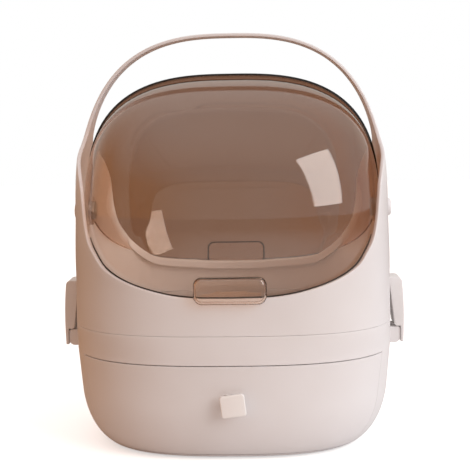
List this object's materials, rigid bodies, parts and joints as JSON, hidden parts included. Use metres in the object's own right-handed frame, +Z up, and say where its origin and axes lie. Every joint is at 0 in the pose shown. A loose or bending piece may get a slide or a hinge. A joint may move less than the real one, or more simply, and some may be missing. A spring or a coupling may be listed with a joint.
{
  "type": "makeup organizer",
  "caption": "Portable makeup organizer with a carry handle, two nested clear dome lids, side latches and a drawer.",
  "frame": {"origin": "on the table under the middle of the body", "axes": "+Z up, front towards -Y, +X to the right seen from the front"},
  "size_m": [0.2742, 0.2167, 0.3226],
  "materials": {
    "body_plastic": "satin moulded ABS, pale blush",
    "pull_plastic": "satin moulded ABS, a little pinker",
    "amber_plastic": "clear amber-brown polystyrene, polished",
    "inner_plastic": "fine matt moulded ABS, warm cream",
    "steel": "plain turned steel",
    "foot_rubber": "matt black-brown rubber"
  },
  "bodies": {
    "root": {"base_housing": "body_plastic", "middle_deck": "inner_plastic", "upper_shell": "body_plastic", "cosmetics_tray": "inner_plastic", "tray_divider_left": "inner_plastic", "tray_divider_right": "inner_plastic", "hinge_pin_left": "steel", "hinge_pin_right": "steel", "hinge_cap_left": "body_plastic", "hinge_cap_right": "body_plastic", "latch_pin_left": "body_plastic", "latch_pin_right": "body_plastic", "drawer_rail_left": "inner_plastic", "drawer_rail_right": "inner_plastic", "deck_screw_1": "steel", "deck_screw_2": "steel", "deck_screw_3": "steel", "deck_screw_4": "steel", "rubber_foot_1": "foot_rubber", "rubber_foot_2": "foot_rubber", "rubber_foot_3": "foot_rubber", "rubber_foot_4": "foot_rubber"},
    "front_lid": {"front_lid": "amber_plastic"},
    "rear_lid": {"rear_lid": "amber_plastic"},
    "drawer": {"drawer_tray": "inner_plastic", "drawer_front": "body_plastic", "drawer_pull": "pull_plastic", "pull_screw": "steel", "drawer_screw_left": "steel", "drawer_screw_right": "steel"},
    "latch_left": {"side_latch_left": "body_plastic"},
    "latch_right": {"side_latch_right": "body_plastic"}
  },
  "joints": [
    {"name": "front_lid_hinge", "type": "hinge", "parent": "root", "child": "front_lid", "pos_m": [0, 0, 0.179], "axis": [1, 0, 0], "range_deg": [-108, 0]},
    {"name": "rear_lid_hinge", "type": "hinge", "parent": "root", "child": "rear_lid", "pos_m": [0, 0, 0.179], "axis": [1, 0, 0], "range_deg": [0, 100]},
    {"name": "drawer_slide", "type": "slide", "parent": "root", "child": "drawer", "axis": [0, -1, 0], "range_m": [0, 0.095]},
    {"name": "latch_left_hinge", "type": "hinge", "parent": "root", "child": "latch_left", "pos_m": [-0.1296, 0, 0.075], "axis": [0, -1, 0], "range_deg": [0, 55]},
    {"name": "latch_right_hinge", "type": "hinge", "parent": "root", "child": "latch_right", "pos_m": [0.1296, 0, 0.075], "axis": [0, 1, 0], "range_deg": [0, 55]}
  ]
}
